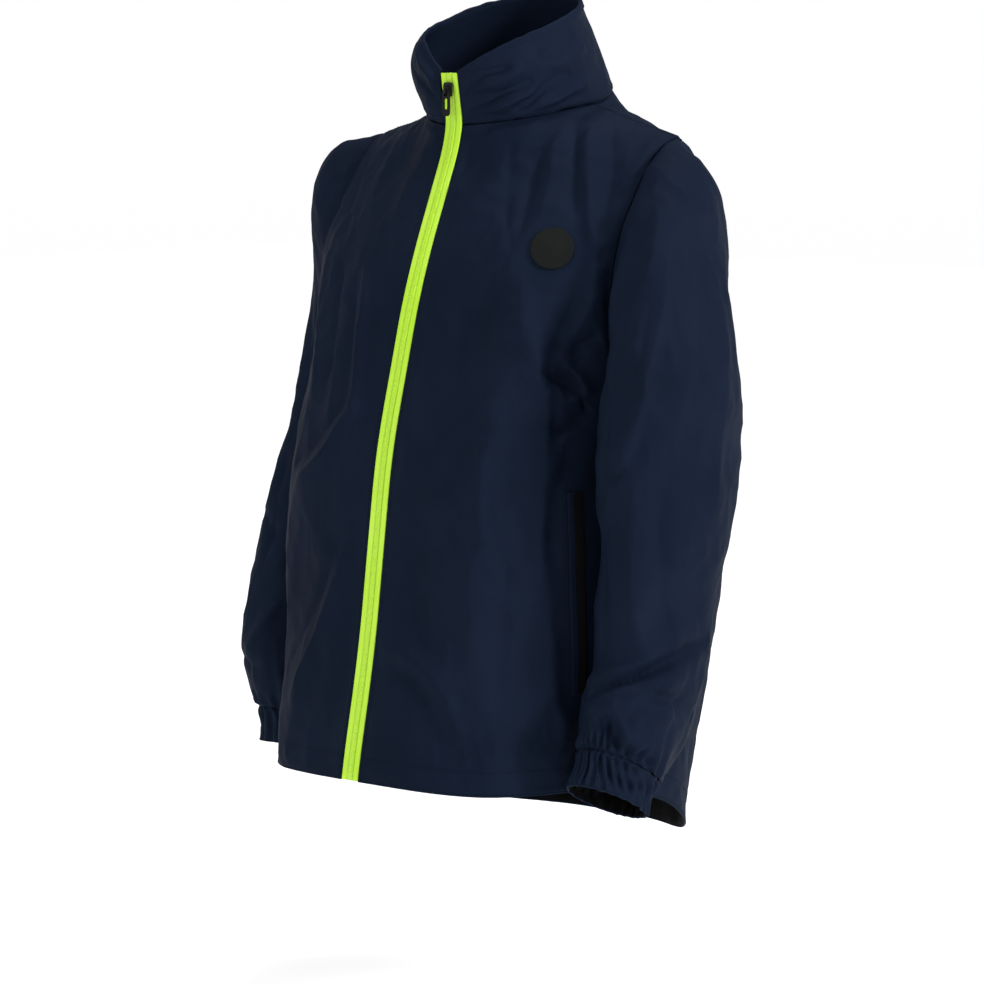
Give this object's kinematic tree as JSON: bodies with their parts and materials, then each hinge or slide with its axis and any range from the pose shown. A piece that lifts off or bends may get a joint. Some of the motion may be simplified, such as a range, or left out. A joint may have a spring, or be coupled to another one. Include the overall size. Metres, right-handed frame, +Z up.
{
  "type": "kids raincoat",
  "caption": "Child's hip-length zip-up raincoat as worn: stand collar, set-in sleeves with elastic cuffs, side zip pockets and a dropped back hem.",
  "frame": {"origin": "midway between the shoulders, level with the neck ends of the shoulder seams, where the wearer's shoulders carry the coat", "axes": "+Z up, the zip faces -Y, +X towards the wearer's left arm"},
  "size_m": [0.4791, 0.3402, 0.6624],
  "materials": {
    "shell_cloth": "matte woven polyester, dark navy",
    "neon_tape": "matte woven tape, neon yellow-green",
    "neon_coil": "matte nylon coil",
    "dark_tape": "black-brown coated zip tape",
    "slider_metal": "satin black",
    "patch_cloth": "dark rubbery print",
    "pull_rubber": "matte black"
  },
  "bodies": {
    "coat": {"front_left": "shell_cloth", "front_right": "shell_cloth", "back": "shell_cloth", "sleeve_left": "shell_cloth", "sleeve_right": "shell_cloth", "cuff_left": "shell_cloth", "cuff_right": "shell_cloth", "collar_outer": "shell_cloth", "collar_inner": "shell_cloth", "zip_tape_left": "neon_tape", "zip_tape_right": "neon_tape", "zip_coil": "neon_coil", "zip_slider": "slider_metal", "pocket_welt_left": "shell_cloth", "pocket_welt_right": "shell_cloth", "pocket_zip_left": "dark_tape", "pocket_zip_right": "dark_tape", "chest_patch": "patch_cloth"},
    "pull": {"zip_pull": "pull_rubber"}
  },
  "joints": [
    {"name": "pull_swing", "type": "hinge", "parent": "coat", "child": "pull", "pos_m": [0, -0.0828, 0.011], "axis": [-1, 0, 0], "range_deg": [-4, 150]}
  ]
}
